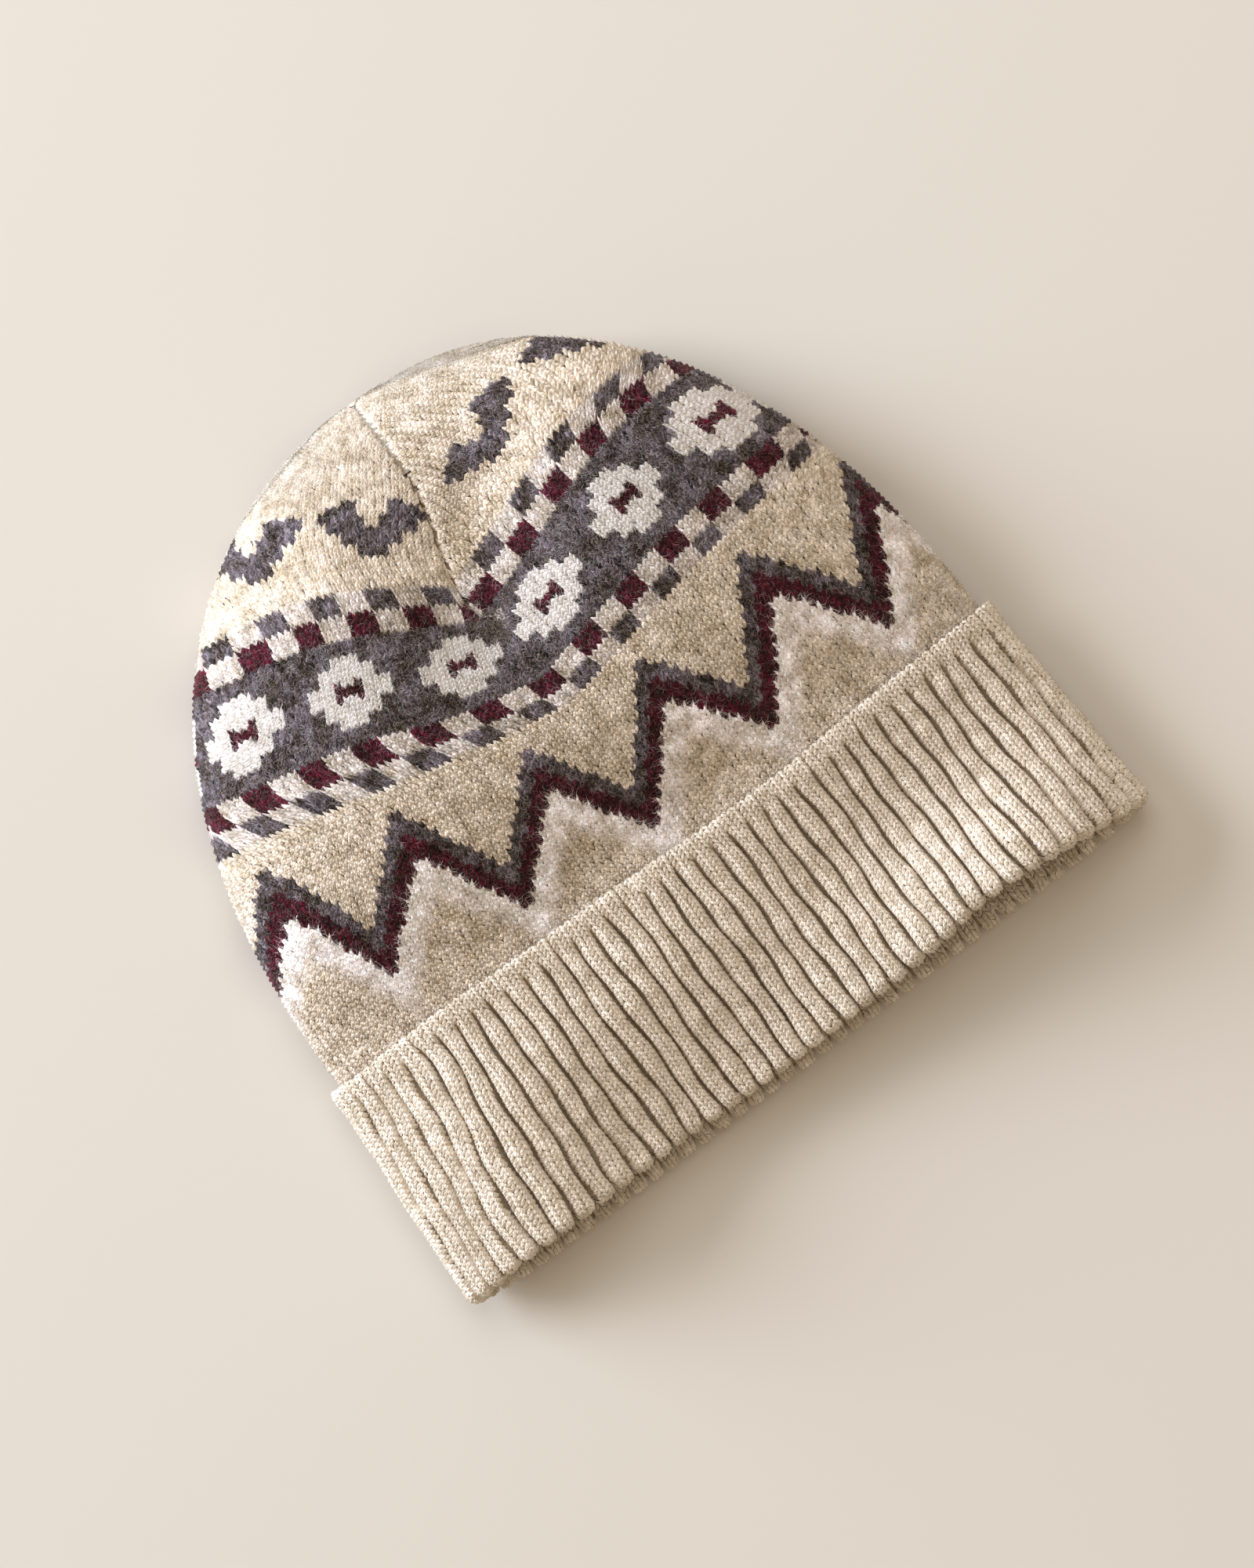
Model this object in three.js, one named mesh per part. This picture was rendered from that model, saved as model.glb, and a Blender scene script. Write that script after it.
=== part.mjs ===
// A fair isle hat: a soft knitted crown with a turned-up ribbed cuff, lying flat on its back.
// Millimetres, +Z up. The mouth opens towards -Y, the crown ends towards +Y, the front faces up.
// The origin is under the middle of the hat, on the surface that it lies on.
//
// Every piece is laid on one surface, the outer skin of the knitted body. A place on it has a
// station y along the hat and a turn round it: 0 is the middle of the front, 0.25 the +X side,
// 0.5 the middle of the back and 0.75 the -X side.

import * as THREE from 'three';

// ---- Driving dimensions ----

const CUFF_HEIGHT = 70; // from the fold at the mouth to the cuff's free edge
const CROWN_LENGTH = 152; // from the cuff's free edge to the top of the crown
const MOUTH_HALF_WIDTH = 116.2; // of the body inside the cuff, at the fold
const CROWN_HALF_WIDTH = 112.3; // of the body where it leaves the cuff
const WALL = 3; // thickness of the knitted body
const LAYER_GAP = 0.5; // between the body and the layer turned up over it
const PIECE_GAP = 0.3; // between the crown's lower edge and the cuff
const RIB_COUNT = 80;
const RIB_DEPTH = 1.3;
const RIB_TOP_START = 0.26; // share of a rib's pitch where its top starts after the valley
const RIB_TOP_END = 0.74;
const CUFF_LAYER = 3.2; // thickness of the turned-up layer at the top of a rib
const LAP_LEVEL = 0.78; // share of the cuff's height where the crown starts under it
const BACK_DROP = 5; // how far the back of the fold reaches beyond the front

const OUTLINE_POWER = 2.2; // roundness of the crown's outline, seen from the front
const LOFT_POWER = 2.6; // roundness of the crown's end, seen from the side
const FRONT_FULLNESS = 0.6; // how square a section's domed front is: 0.55 is an ellipse
const SIDE_FULLNESS = 0.55; // the same for the turn down to the flat back
const SIDE_REACH = 1.7; // width of that turn, in rim heights
const APEX_SHIFT = 4; // the crown's top lies this far towards +X
const BACK_ROUND = 24; // length over which the back turns up at the crown's end
const BACK_SETTLE = 22; // length over which the back sinks to the surface beyond the cuff

const DART_DEPTH = 2.2;
const DART_HALF_WIDTH = 3.5;
const DART_START = 150; // station where the four darts of the crown begin
const DART_FADE = 24; // length over which a dart reaches its full depth
const DART_TURNS = [0, 0.25, 0.5, 0.75];

const CROWN_RINGS = 17;
const FLAT_ABOVE = 0.75; // share of a section's loft over which a swell takes hold

// Sections of the body: the level of its widest line, and the height of the front above that.
const SECTIONS = [
  { y: -10, rim: 11, loft: 11.5 },
  { y: 35, rim: 11.5, loft: 15 },
  { y: 70, rim: 12, loft: 19.5 },
  { y: 110, rim: 13, loft: 34 },
  { y: 150, rim: 13, loft: 40 },
  { y: 190, rim: 11, loft: 41 },
  { y: 222, rim: 9, loft: 36 },
];

// Soft dents and swells of the front: the centre, its reach along X and Y, and the rise.
const SWELLS = [
  { name: 'dent at the foot of the front dart', x: 2, y: 156, reachX: 21, reachY: 26, rise: -7.5 },
  { name: 'hollow right of the front dart', x: 21, y: 180, reachX: 17, reachY: 24, rise: -5.5 },
  { name: 'ridge left of the dart', x: -34, y: 184, reachX: 15, reachY: 30, rise: 2.5 },
  { name: 'left shoulder', x: -62, y: 140, reachX: 28, reachY: 36, rise: 1.5 },
  { name: 'crease above the cuff', x: 20, y: 76, reachX: 60, reachY: 9, rise: -1.5 },
  { name: 'ridge near the cuff\'s left end', x: -86, y: 20, reachX: 22, reachY: 40, rise: 7.5 },
  { name: 'puffed middle of the cuff', x: -30, y: 44, reachX: 46, reachY: 20, rise: 2.5 },
  { name: 'flattened middle of the mouth', x: -30, y: -2, reachX: 46, reachY: 30, rise: -8 },
  { name: 'hollow behind the lifted lip', x: 60, y: 36, reachX: 50, reachY: 20, rise: -4.5 },
  { name: 'lifted lip at the mouth', x: 76, y: 2, reachX: 34, reachY: 26, rise: 12 },
];

// Waves of the cuff's two edges, by where they are round the hat.
const FOLD_WAVES = [
  { turn: 0.145, reach: 0.045, rise: 3.4 },
  { turn: -0.02, reach: 0.06, rise: -1 },
];
const FREE_EDGE_WAVES = [
  { turn: 0.06, reach: 0.09, rise: -2.6 },
  { turn: -0.17, reach: 0.05, rise: 1.2 },
];

// ---- The outer skin of the knitted body ----

const CROWN_TOP = CUFF_HEIGHT + CROWN_LENGTH;
const { lerp, smoothstep } = THREE.MathUtils;

// A smooth curve through one column of the sections.
function alongHat(column, y) {
  const last = SECTIONS.length - 1;
  const above = SECTIONS.findIndex((row) => row.y > y);
  const i = above < 0 ? last - 1 : Math.max(above - 1, 0);
  const slopeAt = (k) => {
    const before = SECTIONS[Math.max(k - 1, 0)];
    const after = SECTIONS[Math.min(k + 1, last)];
    return (after[column] - before[column]) / (after.y - before.y);
  };
  const start = SECTIONS[i];
  const end = SECTIONS[i + 1];
  const span = end.y - start.y;
  const t = THREE.MathUtils.clamp((y - start.y) / span, 0, 1);
  const ease = t * t * (3 - 2 * t);
  const pull = t * (1 - t) * span * ((1 - t) * slopeAt(i) - t * slopeAt(i + 1));
  return lerp(start[column], end[column], ease) + pull;
}

// 1 up to `from`, then falling to 0 at `to` on a rounded curve.
function closing(y, from, to, power) {
  const t = THREE.MathUtils.clamp((y - from) / (to - from), 0, 1);
  return (1 - t ** power) ** (1 / power);
}

function halfWidth(y) {
  const body = lerp(MOUTH_HALF_WIDTH, CROWN_HALF_WIDTH, Math.min(y / CUFF_HEIGHT, 1));
  return body * closing(y, CUFF_HEIGHT, CROWN_TOP, OUTLINE_POWER);
}

// Height of the body's back over the surface: it lies on the cuff's back, then on the surface.
function backHeight(y, rim) {
  const onCuff = LAYER_GAP + CUFF_LAYER;
  const settled = onCuff * (1 - smoothstep(y, CUFF_HEIGHT, CUFF_HEIGHT + BACK_SETTLE));
  return lerp(rim, settled, closing(y, CROWN_TOP - BACK_ROUND, CROWN_TOP, 2));
}

// Right half of the section at station y, from the middle of the front to that of the back.
function halfSection(y) {
  const wide = halfWidth(y);
  const rim = alongHat('rim', y);
  const top = rim + alongHat('loft', y) * closing(y, CUFF_HEIGHT, CROWN_TOP, LOFT_POWER);
  const back = backHeight(y, rim);
  const flat = Math.max(wide - SIDE_REACH * rim, wide / 4);
  const path = new THREE.Path();
  path.moveTo(0, top);
  path.bezierCurveTo(
    FRONT_FULLNESS * wide, top,
    wide, lerp(rim, top, FRONT_FULLNESS),
    wide, rim,
  );
  path.bezierCurveTo(
    wide, lerp(rim, back, SIDE_FULLNESS),
    lerp(flat, wide, 1 - SIDE_FULLNESS), back,
    flat, back,
  );
  path.lineTo(0, back);
  return { path, rim, top };
}

const fromCentre = (distance, reach) => Math.exp(-((distance / reach) ** 2));

// A point of the outer skin, before the darts are drawn in.
function skin(y, turn) {
  const { path, rim, top } = halfSection(y);
  const halfTurn = turn <= 0.5 ? turn * 2 : (1 - turn) * 2;
  const place = path.getPoint(halfTurn);
  const x = turn <= 0.5 ? place.x : -place.x;
  const onFront = smoothstep(place.y, rim, lerp(rim, top, FLAT_ABOVE));
  let z = place.y;
  for (const swell of SWELLS) {
    const near = fromCentre(x - swell.x, swell.reachX) * fromCentre(y - swell.y, swell.reachY);
    z += onFront * near * swell.rise;
  }
  const shift = APEX_SHIFT * Math.max((y - CUFF_HEIGHT) / CROWN_LENGTH, 0) ** 4;
  return new THREE.Vector3(x + shift, y, z);
}

// How far the nearest dart draws the fabric in.
function dartDepth(y, turn, girth) {
  const nearest = Math.min(...DART_TURNS.map((dart) => {
    const away = Math.abs(turn - dart);
    return Math.min(away, 1 - away);
  }));
  const along = smoothstep(y, DART_START, DART_START + DART_FADE);
  return DART_DEPTH * along * fromCentre(nearest * girth, DART_HALF_WIDTH);
}

// A point off the skin: outward is the distance out along the skin's normal.
function offSkin(y, turn, outward) {
  const stepY = 0.2;
  const stepTurn = 0.002;
  const wrap = (value) => (value + 1) % 1;
  const here = skin(y, turn);
  const back = skin(y - stepY, turn);
  const left = skin(y, wrap(turn - stepTurn));
  const right = skin(y, wrap(turn + stepTurn));
  const alongY = new THREE.Vector3().subVectors(here, back);
  const around = new THREE.Vector3().subVectors(right, left);
  const normal = new THREE.Vector3().crossVectors(around, alongY).normalize();
  const girth = halfSection(y).path.getLength() * 2;
  return here.addScaledVector(normal, outward - dartDepth(y, turn, girth));
}

// ---- The lines that the cuff keeps to ----

function wave(rows, turn) {
  return rows.reduce((sum, row) => {
    const away = Math.abs(turn - (row.turn + 1) % 1);
    return sum + row.rise * fromCentre(Math.min(away, 1 - away), row.reach);
  }, 0);
}

function foldLine(turn) {
  const onBack = smoothstep(-Math.cos(2 * Math.PI * turn), -0.35, 0.35);
  return wave(FOLD_WAVES, turn) - BACK_DROP * onBack;
}

// Station at a share of the cuff's height: 0 at the fold, 1 at the free edge.
function cuffStation(level, turn) {
  return lerp(foldLine(turn), CUFF_HEIGHT + wave(FREE_EDGE_WAVES, turn), level);
}

// ---- Rings of points joined into closed meshes ----

// Turns of a ring: one for each rib's valley, and with ribs also the two edges of its top.
const POINTS_PER_RIB = 3;

function ringTurns(ribbed) {
  const turns = [];
  for (let rib = 0; rib < RIB_COUNT; rib += 1) {
    turns.push(rib / RIB_COUNT);
    if (ribbed) {
      turns.push((rib + RIB_TOP_START) / RIB_COUNT, (rib + RIB_TOP_END) / RIB_COUNT);
    }
  }
  return turns;
}

class Skin {
  constructor() {
    this.points = [];
    this.faces = [];
  }

  addRing(points) {
    const start = this.points.length;
    this.points.push(...points);
    return { start, count: points.length };
  }

  // Joins two rings. One may have three times as many points as the other.
  bridge(a, b) {
    const steps = Math.min(a.count, b.count);
    for (let i = 0; i < steps; i += 1) {
      const spanA = this.span(a, i, steps);
      const spanB = this.span(b, i, steps);
      const middleA = Math.floor(spanA.length / 2);
      for (let k = 0; k + 1 < spanA.length; k += 1) {
        this.faces.push([spanA[k], spanA[k + 1], k < middleA ? spanB[0] : spanB.at(-1)]);
      }
      for (let k = 0; k + 1 < spanB.length; k += 1) {
        this.faces.push([spanB[k + 1], spanB[k], spanA[middleA]]);
      }
    }
  }

  // The points of a ring between two neighbouring valleys, both included.
  span(ring, i, steps) {
    const each = ring.count / steps;
    const numbers = [];
    for (let k = 0; k <= each; k += 1) {
      numbers.push(ring.start + ((i * each + k) % ring.count));
    }
    return numbers;
  }

  // Closes a ring onto one point. The point is ahead of the ring along the rings' order.
  close(ring, point, ahead) {
    const tip = this.addRing([point]).start;
    for (let i = 0; i < ring.count; i += 1) {
      const here = ring.start + i;
      const next = ring.start + ((i + 1) % ring.count);
      this.faces.push(ahead ? [here, next, tip] : [next, here, tip]);
    }
  }

  toMesh(name, material) {
    const geometry = new THREE.BufferGeometry();
    geometry.setFromPoints(this.points);
    geometry.setIndex(this.faces.flat());
    geometry.computeVertexNormals();
    const mesh = new THREE.Mesh(geometry, material);
    mesh.name = name;
    return mesh;
  }
}

// ---- Pieces ----

const oatmealWool = new THREE.MeshStandardMaterial({ color: 0xd3c5aa, roughness: 0.95, metalness: 0 });
const beigeWool = new THREE.MeshStandardMaterial({ color: 0xcdc0a8, roughness: 0.95, metalness: 0 });

// The hollow crown: an inner skin from its top down to the lower edge, then the outer skin back up.
function makeCrown() {
  const turns = ringTurns(false);
  const ringAt = (k, outward) => turns.map((turn) => {
    const start = cuffStation(LAP_LEVEL, turn) + PIECE_GAP;
    const rise = Math.sin((k / CROWN_RINGS) * (Math.PI / 2));
    return offSkin(lerp(start, CROWN_TOP, rise), turn, outward);
  });
  const crown = new Skin();
  const rings = [];
  for (let k = CROWN_RINGS - 1; k >= 0; k -= 1) {
    rings.push(crown.addRing(ringAt(k, -WALL)));
  }
  for (let k = 0; k < CROWN_RINGS; k += 1) {
    rings.push(crown.addRing(ringAt(k, 0)));
  }
  for (let k = 0; k + 1 < rings.length; k += 1) {
    crown.bridge(rings[k], rings[k + 1]);
  }
  const apexHeight = alongHat('rim', CROWN_TOP);
  crown.close(rings[0], new THREE.Vector3(APEX_SHIFT, CROWN_TOP - WALL, apexHeight), false);
  crown.close(rings.at(-1), new THREE.Vector3(APEX_SHIFT, CROWN_TOP, apexHeight), true);
  return crown.toMesh('crown', oatmealWool);
}

// The cuff's profile, once round: out along the turned-up layer, down the gap behind it, up the
// body's own layer and back along the inside. Outward is measured from the body's skin.
const RIB_TOP = LAYER_GAP + CUFF_LAYER;
const FOLD_MIDDLE = (RIB_TOP - WALL) / 2;
const CUFF_PROFILE = [
  { outward: FOLD_MIDDLE, level: 0, shift: 0, ribs: 0 },
  { outward: RIB_TOP - 1.1, level: 0, shift: 1, ribs: 0.6 },
  { outward: RIB_TOP, level: 0, shift: 4, ribs: 1 },
  { outward: RIB_TOP, level: 0.36, shift: 0, ribs: 1 },
  { outward: RIB_TOP, level: 0.68, shift: 0, ribs: 1 },
  { outward: RIB_TOP, level: 1, shift: -4.5, ribs: 1 },
  { outward: RIB_TOP - 0.4, level: 1, shift: -1, ribs: 0.2 },
  { outward: LAYER_GAP + CUFF_LAYER / 2, level: 1, shift: 0, ribs: 0 },
  { outward: LAYER_GAP, level: 1, shift: -0.8, ribs: 0 },
  { outward: LAYER_GAP, level: LAP_LEVEL, shift: 0, ribs: 0 },
  { outward: LAYER_GAP, level: 0.36, shift: 0, ribs: 0 },
  { outward: LAYER_GAP, level: 0, shift: 6, ribs: 0 },
  { outward: 0, level: 0, shift: 6, ribs: 0 },
  { outward: 0, level: 0.36, shift: 0, ribs: 0 },
  { outward: 0, level: LAP_LEVEL, shift: 0, ribs: 0 },
  { outward: -WALL, level: LAP_LEVEL, shift: 0, ribs: 0 },
  { outward: -WALL, level: 0.36, shift: 0, ribs: 0 },
  { outward: -WALL, level: 0, shift: 4, ribs: 0 },
  { outward: 1 - WALL, level: 0, shift: 1.2, ribs: 0 },
];

function makeCuff() {
  const cuff = new Skin();
  const rings = CUFF_PROFILE.map(({ outward, level, shift, ribs }) => {
    const turns = ringTurns(ribs > 0);
    return cuff.addRing(turns.map((turn, i) => {
      const inValley = ribs > 0 && i % POINTS_PER_RIB === 0;
      const station = cuffStation(level, turn) + shift;
      return offSkin(station, turn, outward - (inValley ? ribs * RIB_DEPTH : 0));
    }));
  });
  rings.forEach((ring, i) => cuff.bridge(ring, rings[(i + 1) % rings.length]));
  return cuff.toMesh('cuff', beigeWool);
}

// ---- The hat, standing over the origin ----

const hat = new THREE.Group();
hat.name = 'fair_isle_hat';
hat.add(makeCrown(), makeCuff());

const box = new THREE.Box3().setFromObject(hat, true);
const middle = box.getCenter(new THREE.Vector3());
hat.position.set(-middle.x, -middle.y, -box.min.z);

export default hat;
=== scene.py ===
"""A fair isle hat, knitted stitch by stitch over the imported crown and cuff.

Lengths are in millimetres until they become mesh points, which are metres. A place on the hat has
a station y along it, from 0 at the front fold to CROWN_TOP, and a turn round it: 0 is the middle of
the front, 0.25 the +X side and 0.5 the middle of the back. The stitches have a row, counted up from
the cuff's free edge, and a column, counted from the middle of the front.
"""

import math

import bpy
import numpy as np
from mathutils import Matrix, Vector


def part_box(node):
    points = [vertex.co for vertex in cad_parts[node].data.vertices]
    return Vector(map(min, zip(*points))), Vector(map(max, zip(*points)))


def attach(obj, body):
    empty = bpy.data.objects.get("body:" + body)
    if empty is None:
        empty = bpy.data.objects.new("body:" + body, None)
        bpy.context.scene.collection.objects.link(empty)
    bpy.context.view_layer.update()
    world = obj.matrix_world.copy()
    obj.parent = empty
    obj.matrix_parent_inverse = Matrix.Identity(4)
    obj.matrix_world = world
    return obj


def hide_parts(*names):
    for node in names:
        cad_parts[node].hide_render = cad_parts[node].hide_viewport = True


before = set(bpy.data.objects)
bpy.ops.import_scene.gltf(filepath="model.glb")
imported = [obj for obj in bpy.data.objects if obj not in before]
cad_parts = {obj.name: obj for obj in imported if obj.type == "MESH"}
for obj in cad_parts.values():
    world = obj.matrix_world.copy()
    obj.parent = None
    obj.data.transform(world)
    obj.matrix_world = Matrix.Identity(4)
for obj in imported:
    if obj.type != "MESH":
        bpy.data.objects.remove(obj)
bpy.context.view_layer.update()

MM = 0.001
rng = np.random.default_rng(7)

# ---- The hat's driving dimensions, as in the part's source ----

CUFF_HEIGHT = 70.0
CROWN_LENGTH = 152.0
CROWN_TOP = CUFF_HEIGHT + CROWN_LENGTH
MOUTH_HALF_WIDTH = 116.2
CROWN_HALF_WIDTH = 112.3
WALL = 3.0
LAYER_GAP = 0.5
CUFF_LAYER = 3.2
RIB_COUNT = 80
BACK_DROP = 5.0
OUTLINE_POWER = 2.2
LOFT_POWER = 2.6
FRONT_FULLNESS = 0.6
SIDE_FULLNESS = 0.55
SIDE_REACH = 1.7
APEX_SHIFT = 4.0
BACK_ROUND = 24.0
BACK_SETTLE = 22.0
FLAT_ABOVE = 0.75

SECTIONS = {
    "y": [-10, 35, 70, 110, 150, 190, 222],
    "rim": [11, 11.5, 12, 13, 13, 11, 9],
    "loft": [11.5, 15, 19.5, 34, 40, 41, 36],
}

# name, x, y, reach along x, reach along y, rise
SWELLS = [
    ("dent at the foot of the front dart", 2, 156, 21, 26, -7.5),
    ("hollow right of the front dart", 21, 180, 17, 24, -5.5),
    ("ridge left of the dart", -34, 184, 15, 30, 2.5),
    ("left shoulder", -62, 140, 28, 36, 1.5),
    ("crease above the cuff", 20, 76, 60, 9, -1.5),
    ("ridge near the cuff's left end", -86, 20, 22, 40, 7.5),
    ("puffed middle of the cuff", -30, 44, 46, 20, 2.5),
    ("flattened middle of the mouth", -30, -2, 46, 30, -8),
    ("hollow behind the lifted lip", 60, 36, 50, 20, -4.5),
    ("lifted lip at the mouth", 76, 2, 34, 26, 12),
]
BACK_BLEND = 0.35  # how gradually the fold drops to the back, as the cosine of the way round
# turn, reach, rise
FOLD_WAVES = [(0.145, 0.045, 3.4), (-0.02, 0.06, -1)]
FREE_EDGE_WAVES = [(0.06, 0.09, -2.6), (-0.17, 0.05, 1.2)]

# The shape's station 0 in the frame.
FRAME_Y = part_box("crown")[1][1] / MM - CROWN_TOP


# ---- Small helpers ----

def lerp(a, b, t):
    return a + (b - a) * t


def smoothstep(x, low, high):
    t = np.clip((x - low) / (high - low), 0, 1)
    return t * t * (3 - 2 * t)


def bell(distance, reach):
    return np.exp(-(distance / reach) ** 2)


def smooth_curve(nodes, values, x):
    """A smooth curve through values, given at nodes along their first axis, read at each x."""
    nodes = np.asarray(nodes, float)
    values = np.asarray(values, float)
    x = np.clip(np.asarray(x, float), nodes[0], nodes[-1])
    last = len(nodes) - 1
    i = np.clip(np.searchsorted(nodes, x, side="right") - 1, 0, last - 1)
    before, after = np.maximum(np.arange(last + 1) - 1, 0), np.minimum(np.arange(last + 1) + 1, last)
    wide = (slice(None),) + (None,) * (values.ndim - 1)
    slopes = (values[after] - values[before]) / (nodes[after] - nodes[before])[wide]
    span = (nodes[i + 1] - nodes[i])[wide]
    t = (x[wide] - nodes[i][wide]) / span
    pull = t * (1 - t) * span * ((1 - t) * slopes[i] - t * slopes[i + 1])
    return lerp(values[i], values[i + 1], t * t * (3 - 2 * t)) + pull


def read_grid(grid, row, column):
    """A grid of values, read between its rows and columns."""
    i = np.clip(row.astype(int), 0, grid.shape[0] - 2)
    j = np.clip(column.astype(int), 0, grid.shape[1] - 2)
    u, v = row - i, column - j
    if grid.ndim == 3:
        u, v = u[..., None], v[..., None]
    low = lerp(grid[i, j], grid[i, j + 1], v)
    return lerp(low, lerp(grid[i + 1, j], grid[i + 1, j + 1], v), u)


def unit(vectors):
    return vectors / np.maximum(np.linalg.norm(vectors, axis=-1, keepdims=True), 1e-9)


def closing(y, start, end, power):
    t = np.clip((y - start) / (end - start), 0, 1)
    return (1 - t ** power) ** (1 / power)


def turn_away(turn, centre):
    """The shorter way round from a turn to a centre, as a share of the whole turn."""
    away = np.abs((turn - centre) % 1.0)
    return np.minimum(away, 1 - away)


# ---- The skin of the hat ----

def bezier(p0, p1, p2, p3, count):
    t = np.linspace(0, 1, count)[None, :]
    weights = ((1 - t) ** 3, 3 * t * (1 - t) ** 2, 3 * t * t * (1 - t), t ** 3)
    return sum(np.asarray(p)[:, None] * w for p, w in zip((p0, p1, p2, p3), weights))


class Skin:
    """The outer skin of the knitted body, kept as a fine grid of points and normals."""

    TURNS = 721
    END_SHARE = 0.9997  # of the crown's length: the last station stops just short of the tip
    LOWEST = -16.0
    CUFF_STATIONS, CROWN_STATIONS = 90, 260
    FRONT_POINTS, SIDE_POINTS, BACK_POINTS = 120, 60, 40  # of each half section

    def __init__(self):
        low = np.linspace(self.LOWEST, CUFF_HEIGHT, self.CUFF_STATIONS, endpoint=False)
        quarter = np.linspace(0, math.pi / 2, self.CROWN_STATIONS)
        high = CUFF_HEIGHT + CROWN_LENGTH * np.sin(quarter) * self.END_SHARE
        self.stations = np.concatenate([low, high])
        self.turns = np.linspace(0, 1, self.TURNS)
        self.points = self.make_points()
        along = np.gradient(self.points, axis=0)
        around = np.roll(self.points, -1, axis=1) - np.roll(self.points, 1, axis=1)
        around[:, 0] = self.points[:, 1] - self.points[:, -2]
        around[:, -1] = around[:, 0]
        self.normals = unit(np.cross(around, along))

    def make_points(self):
        y = self.stations
        body = lerp(MOUTH_HALF_WIDTH, CROWN_HALF_WIDTH, np.minimum(y / CUFF_HEIGHT, 1))
        wide = body * closing(y, CUFF_HEIGHT, CROWN_TOP, OUTLINE_POWER)
        rim = smooth_curve(SECTIONS["y"], SECTIONS["rim"], y)
        loft = smooth_curve(SECTIONS["y"], SECTIONS["loft"], y)
        top = rim + loft * closing(y, CUFF_HEIGHT, CROWN_TOP, LOFT_POWER)
        settled = (LAYER_GAP + CUFF_LAYER) * (1 - smoothstep(y, CUFF_HEIGHT, CUFF_HEIGHT + BACK_SETTLE))
        back = lerp(rim, settled, closing(y, CROWN_TOP - BACK_ROUND, CROWN_TOP, 2))
        flat = np.maximum(wide - SIDE_REACH * rim, wide / 4)
        near = lerp(flat, wide, 1 - SIDE_FULLNESS)
        nothing = np.zeros_like(y)
        x = self.half_section(
            (nothing, FRONT_FULLNESS * wide, wide, wide),
            (wide, wide, near, flat),
            (flat, flat * 2 / 3, flat / 3, nothing))
        z = self.half_section(
            (top, top, lerp(rim, top, FRONT_FULLNESS), rim),
            (rim, lerp(rim, back, SIDE_FULLNESS), back, back),
            (back, back, back, back))
        steps = np.hypot(np.diff(x, axis=1), np.diff(z, axis=1))
        length = np.concatenate([nothing[:, None], np.cumsum(steps, axis=1)], axis=1)
        self.girth = 2 * length[:, -1]
        self.half_x, self.half_length = x, length
        half_turn = 1 - np.abs(1 - 2 * self.turns)
        side = np.where(self.turns <= 0.5, 1.0, -1.0)
        points = np.empty((len(y), self.TURNS, 3))
        for i in range(len(y)):
            at = half_turn * length[i, -1]
            points[i, :, 0] = side * np.interp(at, length[i], x[i])
            points[i, :, 2] = np.interp(at, length[i], z[i])
        points[:, :, 1] = y[:, None]
        front = smoothstep(points[:, :, 2], rim[:, None], lerp(rim, top, FLAT_ABOVE)[:, None])
        for _, swell_x, swell_y, reach_x, reach_y, rise in SWELLS:
            near_swell = bell(points[:, :, 0] - swell_x, reach_x) * bell(y[:, None] - swell_y, reach_y)
            points[:, :, 2] += front * near_swell * rise
        points[:, :, 0] += self.shift(y)[:, None]
        return points

    def half_section(self, front, side, back):
        """Three curves joined: over the front, round the side and along the back."""
        return np.concatenate([
            bezier(*front, self.FRONT_POINTS),
            bezier(*side, self.SIDE_POINTS)[:, 1:],
            bezier(*back, self.BACK_POINTS)[:, 1:],
        ], axis=1)

    @staticmethod
    def shift(y):
        return APEX_SHIFT * np.maximum((y - CUFF_HEIGHT) / CROWN_LENGTH, 0) ** 4

    def row_at(self, y):
        return np.interp(y, self.stations, np.arange(len(self.stations)))

    def across(self, x, y):
        """Distance round the section from its middle to the plan distance x. Beyond the widest line
        x counts on as distance round."""
        i = int(self.row_at(y))
        widest = self.FRONT_POINTS - 1
        away = abs(x - self.shift(y))
        distance = np.interp(away, self.half_x[i, :widest + 1], self.half_length[i, :widest + 1])
        distance += max(away - self.half_x[i, widest], 0)
        return math.copysign(distance, x - self.shift(y))

    def at(self, y, turn):
        """Points and normals at stations and turns, arrays of one shape."""
        place = self.row_at(y), (turn % 1.0) * (self.TURNS - 1)
        return read_grid(self.points, *place), unit(read_grid(self.normals, *place))


skin = Skin()


def wave(rows, turn):
    return sum(rise * bell(turn_away(turn, centre), reach) for centre, reach, rise in rows)


def fold_line(turn):
    """The station of the fold at the mouth."""
    on_back = smoothstep(-np.cos(2 * math.pi * turn), -BACK_BLEND, BACK_BLEND)
    return wave(FOLD_WAVES, turn) - BACK_DROP * on_back


def free_edge(turn):
    """The station of the turned-up layer's edge."""
    return CUFF_HEIGHT + wave(FREE_EDGE_WAVES, turn)


RESTING = 0.5  # height under which the fabric is pressed flat on the surface


def to_frame(points):
    """Points in metres, in the frame. What would sink into the surface is pressed flat on it."""
    points = points + np.array([0, FRAME_Y, 0])
    low = np.minimum(points[..., 2], RESTING)
    points[..., 2] = np.where(
        points[..., 2] < RESTING, RESTING * np.exp((low - RESTING) / RESTING), points[..., 2])
    return points * MM


# ---- Yarns ----

def from_bytes(red, green, blue):
    """A colour as it is seen, 0 to 255, as the linear values that the shader takes."""
    seen = np.array([red, green, blue]) / 255
    return np.where(seen <= 0.04045, seen / 12.92, ((seen + 0.055) / 1.055) ** 2.4)


OATMEAL, CHARCOAL, BURGUNDY, WHITE, LIGHT, LAVENDER, BEIGE = range(7)
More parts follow.
